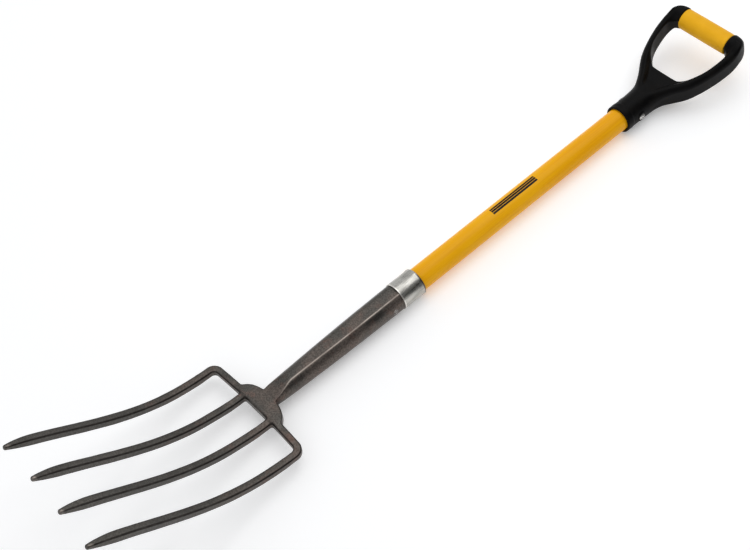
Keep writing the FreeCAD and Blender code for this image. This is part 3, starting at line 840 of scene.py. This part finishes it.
class Finish:
    """A procedural material: short calls for the nodes that the finishes share."""

    def __init__(self, name, **shader_values):
        self.material = bpy.data.materials.new(name)
        self.material.use_nodes = True
        self.tree = self.material.node_tree
        self.shader = self.tree.nodes["Principled BSDF"]
        self.place = self.add("TexCoord", {}).outputs["Object"]
        for socket, value in shader_values.items():
            self.shader.inputs[socket.replace("_", " ").title().replace("Ior", "IOR")].default_value = value

    def add(self, kind, inputs, **settings):
        node = self.tree.nodes.new("ShaderNode" + kind)
        for key, value in settings.items():
            setattr(node, key, value)
        for key, value in inputs.items():
            if isinstance(value, bpy.types.NodeSocket):
                self.tree.links.new(value, node.inputs[key])
            else:
                node.inputs[key].default_value = value
        return node

    def noise(self, size, detail=3.0, stretch=(1, 1, 1), roughness=0.5):
        """Noise with features of a size in millimetres, stretched along the axes."""
        scaled = self.add("Mapping", {"Vector": self.place, "Scale": [1 / s for s in stretch]})
        inputs = {"Scale": 1 / (size * MM), "Detail": detail, "Roughness": roughness}
        return self.add("TexNoise", {"Vector": scaled.outputs[0], **inputs}).outputs[0]

    def ramp(self, value, low, high, to_low=0.0, to_high=1.0):
        inputs = {"Value": value, "From Min": low, "From Max": high, "To Min": to_low, "To Max": to_high}
        return self.add("MapRange", inputs, interpolation_type="SMOOTHSTEP").outputs[0]

    def math(self, operation, a, b=0.0):
        return self.add("Math", {0: a, 1: b}, operation=operation).outputs[0]

    def blend(self, share, a, b):
        colours = [value if isinstance(value, bpy.types.NodeSocket) else (*value, 1.0) for value in (a, b)]
        return self.add("Mix", {0: share, 6: colours[0], 7: colours[1]}, data_type="RGBA").outputs[2]

    def bump(self, height, depth, under=None):
        """Bump of a depth in millimetres, over another bump if there is one."""
        inputs = {"Height": height, "Distance": depth * MM}
        if under is not None:
            inputs["Normal"] = under
        return self.add("Bump", inputs).outputs[0]

    def mark(self, name):
        """A value stored on the mesh's points."""
        return self.add("Attribute", {}, attribute_name=name).outputs["Fac"]

    def edges(self, low=0.52, high=0.6):
        """1 on sharp outer edges, 0 elsewhere; with low above high, 1 in the hollows."""
        return self.ramp(self.add("NewGeometry", {}).outputs["Pointiness"], low, high)

    def finish(self, **links):
        names = {"colour": "Base Color", "roughness": "Roughness", "normal": "Normal"}
        for key, value in links.items():
            self.tree.links.new(value, self.shader.inputs[names[key]])
        return self.material


def forged_steel():
    """Dark forging scale: grey-brown with reddish patches and fine pits, with painted shade in the hollows
    and cut corners, and painted highlights on the edges and ridges, partly standing for rubbed wear.
    """
    f = Finish("forged_steel", metallic=0.85)
    patches = f.ramp(f.noise(34, 4, (1, 1.6, 1)), 0.42, 0.66)
    station = f.add("SeparateXYZ", {"Vector": f.place}).outputs["Y"]
    warm = f.ramp(station, y_of(90) * MM, y_of(260) * MM, 0.15, 1.0)
    rust = f.math("MULTIPLY", f.ramp(f.noise(15, 5, roughness=0.65), 0.5, 0.72), warm)
    grain = f.noise(2.2, 5, roughness=0.7)
    colour = f.blend(warm, (0.120, 0.116, 0.104), (0.160, 0.132, 0.114))
    colour = f.blend(patches, (0.086, 0.083, 0.075), colour)
    colour = f.blend(f.math("MULTIPLY", rust, 0.65), colour, (0.185, 0.108, 0.086))
    colour = f.blend(f.ramp(grain, 0.40, 0.60, 0.55, 0.0), colour, (0.036, 0.030, 0.027))
    specks = f.ramp(f.noise(1.3, 4, roughness=0.7), 0.56, 0.70, 0.0, 0.45)
    colour = f.blend(specks, colour, (0.27, 0.235, 0.21))
    # painted shade: hollows found by pointiness are darkened
    hollows = f.edges(0.485, 0.44)
    colour = f.blend(f.math("MULTIPLY", hollows, 0.8), colour, (0.018, 0.015, 0.013))
    # painted highlight on sharp edges, partly standing for rubbed wear
    colour = f.blend(f.math("MULTIPLY", f.edges(), 0.6), colour, (0.52, 0.46, 0.42))
    # painted shade on the marked chamfers, tine edges, crotches and neck pocket
    corners = f.math("MULTIPLY", f.mark(SHADE_MARK), f.ramp(f.noise(9, 3), 0.25, 0.6, 0.7, 0.95))
    colour = f.blend(corners, colour, (0.024, 0.020, 0.018))
    # painted highlight on the marked socket ridge and tine points
    ridge = f.math("MULTIPLY", f.mark(HIGHLIGHT_MARK), f.ramp(f.noise(5, 3, (1, 3, 1)), 0.3, 0.6, 0.35, 0.8))
    colour = f.blend(ridge, colour, (0.50, 0.43, 0.38))
    uneven = f.math("ADD", f.math("MULTIPLY", grain, 0.6), f.math("MULTIPLY", patches, 0.4))
    roughness = f.ramp(uneven, 0.25, 0.8, 0.36, 0.52)
    pits = f.bump(f.ramp(f.noise(1.1, 3, roughness=0.8), 0.3, 0.6), 0.03)
    scale = f.bump(f.noise(7, 4), 0.10, pits)
    return f.finish(colour=colour, roughness=roughness, normal=scale)


def zinc():
    """Cloudy plating with marks drawn along the axis, a painted highlight on the lower rim, and painted shade
    at the upper lip.
    """
    f = Finish("zinc_plate", metallic=1.0)
    streaks = f.noise(1.1, 3, (1, 22, 1), 0.6)
    cloud = f.noise(6, 3, (1, 2.5, 1))
    spots = f.noise(1.6, 4, roughness=0.7)
    colour = f.blend(f.ramp(cloud, 0.35, 0.7), (0.40, 0.39, 0.36), (0.53, 0.52, 0.485))
    colour = f.blend(f.ramp(streaks, 0.50, 0.68, 0.0, 0.55), colour, (0.22, 0.21, 0.19))
    colour = f.blend(f.ramp(spots, 0.56, 0.7, 0.0, 0.4), colour, (0.66, 0.65, 0.62))
    axes = f.add("SeparateXYZ", {"Vector": f.place}).outputs
    # painted highlight along the lower rim
    rim_highlight = f.ramp(axes["Y"], (COLLAR_LOW[1] + 1.9) * MM, (COLLAR_LOW[1] + 1.1) * MM, 0.0, 0.9)
    colour = f.blend(rim_highlight, colour, (0.80, 0.77, 0.72))
    above = f.math("SUBTRACT", axes["Z"], AXIS_HEIGHT * MM)
    squares = f.math("ADD", f.math("MULTIPLY", axes["X"], axes["X"]), f.math("MULTIPLY", above, above))
    from_axis = f.math("SQRT", squares)
    # painted shade inside the rolled upper lip and on the +X side of its top
    inside_lip = f.ramp(from_axis, (COLLAR_RADIUS - 0.5) * MM, (COLLAR_RADIUS - 1.5) * MM, 0.0, 0.95)
    lip_shade = f.ramp(axes["Y"], (COLLAR_HIGH[1] - 3.4) * MM, (COLLAR_HIGH[1] - 1.4) * MM, 0.0, 0.9)
    lip_shade = f.math("MULTIPLY", lip_shade, f.ramp(axes["X"], -1.0 * MM, 7.0 * MM))
    colour = f.blend(f.math("MAXIMUM", inside_lip, lip_shade), colour, (0.022, 0.018, 0.022))
    uneven = f.math("ADD", f.math("MULTIPLY", streaks, 0.6), f.math("MULTIPLY", spots, 0.4))
    roughness = f.ramp(uneven, 0.35, 0.65, 0.24, 0.46)
    return f.finish(colour=colour, roughness=roughness, normal=f.bump(streaks, 0.04, f.bump(cloud, 0.12)))


def yellow_jacket():
    """Glossy yellow jacket with faint draw lines, and a printed block of three plain bars."""
    f = Finish("yellow_jacket", specular_ior_level=0.1)
    lines = f.noise(1.6, 3, (1, 60, 1))
    tone = f.noise(45, 2, (1, 2.5, 1))
    colour = f.blend(f.ramp(tone, 0.35, 0.65), (0.93, 0.430, 0.006), (0.97, 0.480, 0.009))
    colour = f.blend(f.ramp(lines, 0.45, 0.7, 0.0, 0.45), colour, (0.84, 0.330, 0.006))
    printed = printed_bars(f)
    colour = f.blend(printed, colour, (0.012, 0.011, 0.010))
    peel = f.bump(f.noise(3.5, 2), 0.03)
    roughness = f.ramp(lines, 0.3, 0.7, 0.26, 0.36)
    return f.finish(colour=colour, roughness=roughness, normal=f.bump(lines, 0.012, peel))


def printed_bars(f):
    """1 inside three bars printed along the front of the shaft, placed by station and by angle."""
    start, end = 654.0, 734.0
    centre, pitch, width = -0.045, 0.225, 0.185
    axes = f.add("SeparateXYZ", {"Vector": f.place}).outputs
    angle = f.math("ARCTAN2", axes["X"], f.math("SUBTRACT", axes["Z"], AXIS_HEIGHT * MM))
    along = f.math("COMPARE", axes["Y"], y_of((start + end) / 2) * MM)
    along.node.inputs[2].default_value = (end - start) / 2 * MM
    printed = None
    for step in (-1, 0, 1):
        bar = f.math("COMPARE", angle, centre + step * pitch)
        bar.node.inputs[2].default_value = width / 2
        printed = bar if printed is None else f.math("MAXIMUM", printed, bar)
    return f.math("MULTIPLY", printed, along)


def yellow_grip():
    """Moulded yellow plastic, a little duller than the jacket, with a fine even grain."""
    f = Finish("yellow_grip", specular_ior_level=0.1)
    tone = f.noise(24, 2)
    grain = f.noise(0.7, 2)
    colour = f.blend(f.ramp(tone, 0.35, 0.65), (0.90, 0.455, 0.012), (0.95, 0.49, 0.017))
    scuffs = f.ramp(f.noise(2.5, 4, (6, 1, 1)), 0.6, 0.8, 0.0, 0.3)
    colour = f.blend(scuffs, colour, (0.84, 0.40, 0.02))
    roughness = f.ramp(grain, 0.3, 0.7, 0.38, 0.5)
    return f.finish(colour=colour, roughness=roughness, normal=f.bump(grain, 0.02))


def black_moulding():
    """Black plastic with spark-eroded grain, greyer on its edges: a painted highlight, partly standing for
    rubbing.
    """
    f = Finish("black_moulding", specular_ior_level=0.07)
    grain = f.noise(0.55, 3, roughness=0.6)
    wear = f.noise(14, 4)
    colour = f.blend(f.ramp(wear, 0.4, 0.7), (0.0022, 0.0021, 0.0022), (0.0042, 0.0037, 0.0033))
    # painted highlight: sharp edges made greyer, partly standing for rubbing
    colour = f.blend(f.math("MULTIPLY", f.edges(0.53, 0.62), 0.35), colour, (0.016, 0.0145, 0.0135))
    uneven = f.math("ADD", f.math("MULTIPLY", grain, 0.5), f.math("MULTIPLY", wear, 0.5))
    roughness = f.ramp(uneven, 0.3, 0.7, 0.36, 0.52)
    return f.finish(colour=colour, roughness=roughness, normal=f.bump(grain, 0.035))


def rivet_steel(name, dark, bright):
    """Rivet steel with hammer marks, between two tones."""
    f = Finish(name, metallic=0.95)
    marks = f.noise(1.8, 4, roughness=0.6)
    colour = f.blend(f.ramp(marks, 0.42, 0.6), dark, bright)
    roughness = f.ramp(marks, 0.3, 0.7, 0.24, 0.42)
    return f.finish(colour=colour, roughness=roughness, normal=f.bump(marks, 0.12))


def fibreglass():
    """Pultruded glass fibre: pale straw colour with long fibres."""
    f = Finish("fibreglass", specular_ior_level=0.4)
    fibres = f.noise(0.6, 4, (1, 80, 1))
    colour = f.blend(f.ramp(fibres, 0.35, 0.7), (0.46, 0.42, 0.27), (0.62, 0.58, 0.42))
    return f.finish(colour=colour, roughness=f.ramp(fibres, 0.3, 0.7, 0.35, 0.6), normal=f.bump(fibres, 0.03))


def plug_wood():
    """Turned ash dowel with grain along its length."""
    f = Finish("plug_wood")
    grain = f.noise(2.2, 5, (1, 18, 1), 0.6)
    colour = f.blend(f.ramp(grain, 0.4, 0.65), (0.50, 0.34, 0.18), (0.30, 0.18, 0.085))
    return f.finish(colour=colour, roughness=f.ramp(grain, 0.3, 0.7, 0.55, 0.75), normal=f.bump(grain, 0.05))


def floor_paint():
    """Pale studio floor, very slightly uneven."""
    f = Finish("studio_floor", specular_ior_level=0.1, roughness=0.9, emission_color=(1, 1, 1, 1),
               emission_strength=0.28)
    tone = f.noise(900, 2)
    return f.finish(colour=f.blend(tone, (0.90, 0.90, 0.90), (0.92, 0.92, 0.92)))


# -------- studio


CAMERA_AIM = (-0.0443, -0.0547, 0.0204)
CAMERA_AZIMUTH = math.radians(56.0)
CAMERA_ELEVATION = math.radians(53.45)
CAMERA_ROLL = math.radians(9.68)
CAMERA_DISTANCE = 1.6296
CAMERA_LENS = 61.62

SURROUNDINGS = 0.72  # brightness of the world round the fork
DIM_SIDE = (111.0, 22.0)  # azimuth and elevation of its dim side


def direction(azimuth, elevation):
    """Unit vector towards an azimuth and elevation; azimuth 0 looks along +Y from -Y."""
    level = math.cos(elevation)
    return Vector((math.sin(azimuth) * level, -math.cos(azimuth) * level, math.sin(elevation)))


def make_camera():
    camera = bpy.data.cameras.new("camera")
    camera.lens = CAMERA_LENS
    camera.clip_end = 20
    holder = bpy.data.objects.new("camera", camera)
    bpy.context.scene.collection.objects.link(holder)
    back = direction(CAMERA_AZIMUTH, CAMERA_ELEVATION)
    level_right = Vector((0, 0, 1)).cross(back).normalized()
    level_up = back.cross(level_right)
    up = level_up * math.cos(CAMERA_ROLL) + level_right * math.sin(CAMERA_ROLL)
    right = up.cross(back)
    turned = Matrix((right, up, back)).transposed().to_4x4()
    holder.matrix_world = Matrix.Translation(Vector(CAMERA_AIM) + back * CAMERA_DISTANCE) @ turned
    bpy.context.scene.camera = holder


def add_softbox(name, azimuth_deg, elevation_deg, distance, size, power):
    """Square area light that faces the middle of the fork."""
    light = bpy.data.lights.new(name, "AREA")
    light.size = size
    light.energy = power
    holder = bpy.data.objects.new(name, light)
    bpy.context.scene.collection.objects.link(holder)
    back = direction(math.radians(azimuth_deg), math.radians(elevation_deg))
    holder.location = back * distance
    holder.rotation_euler = back.to_track_quat("Z", "Y").to_euler()


def make_world():
    """Soft surroundings, bright on the left and dim low on the right, behind a plain pale backdrop."""
    world = bpy.data.worlds.new("studio")
    world.use_nodes = True
    nodes, links = world.node_tree.nodes, world.node_tree.links
    facing = nodes.new("ShaderNodeVectorMath")
    facing.operation = "DOT_PRODUCT"
    facing.inputs[1].default_value = direction(math.radians(DIM_SIDE[0]), math.radians(DIM_SIDE[1]))
    links.new(nodes.new("ShaderNodeTexCoord").outputs["Generated"], facing.inputs[0])
    strength = nodes.new("ShaderNodeMapRange")
    strength.interpolation_type = "SMOOTHSTEP"
    for socket, value in zip(strength.inputs[1:5], (0.55, 0.92, SURROUNDINGS, SURROUNDINGS * 0.06)):
        socket.default_value = value
    links.new(facing.outputs["Value"], strength.inputs["Value"])
    surroundings = nodes["Background"]
    surroundings.inputs["Color"].default_value = (0.97, 0.98, 1.0, 1.0)
    links.new(strength.outputs[0], surroundings.inputs["Strength"])
    backdrop = nodes.new("ShaderNodeBackground")
    backdrop.inputs["Color"].default_value = (0.93, 0.93, 0.93, 1.0)
    either = nodes.new("ShaderNodeMixShader")
    links.new(nodes.new("ShaderNodeLightPath").outputs["Is Camera Ray"], either.inputs[0])
    links.new(surroundings.outputs[0], either.inputs[1])
    links.new(backdrop.outputs[0], either.inputs[2])
    links.new(either.outputs[0], nodes["World Output"].inputs["Surface"])
    bpy.context.scene.world = world


def make_studio():
    bpy.ops.mesh.primitive_plane_add(size=14)
    floor = bpy.context.object
    floor.name = "studio_floor_plane"
    floor.data.materials.append(floor_paint())
    make_world()
    add_softbox("key", 185, 70, 2.6, 2.3, 22)
    bpy.context.scene.view_settings.view_transform = "Standard"


# -------- the fork


def main():
    steel, black = forged_steel(), black_moulding()
    dull = rivet_steel("dull_rivet_steel", (0.09, 0.08, 0.075), (0.34, 0.32, 0.30))
    bright = rivet_steel("bright_rivet_steel", (0.20, 0.19, 0.18), (0.72, 0.71, 0.69))
    make_head(steel)
    make_handle(black)
    make_jacket(yellow_jacket())
    make_collar(zinc())
    make_sleeve(yellow_grip())
    make_rivet("socket_rivet_peened", dull, "socket_rivet", SOCKET_RIVET_AT, SOCKET_RIVET_SEAT,
               SOCKET_RIVET_RADIUS, SOCKET_RIVET_HEIGHT)
    make_rivet("grip_rivet_domed", bright, "grip_rivet", GRIP_RIVET_AT, GRIP_SOCKET_RADIUS + 0.3,
               GRIP_RIVET_RADIUS, GRIP_RIVET_HEIGHT)
    carried = {"shaft_tube": fibreglass(), "lower_plug": plug_wood(), "upper_plug": plug_wood(),
               "grip_bar": black}
    for node, material in carried.items():
        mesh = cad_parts[node].data
        for slot in range(len(mesh.materials)):
            mesh.materials[slot] = material
    make_camera()
    make_studio()


main()
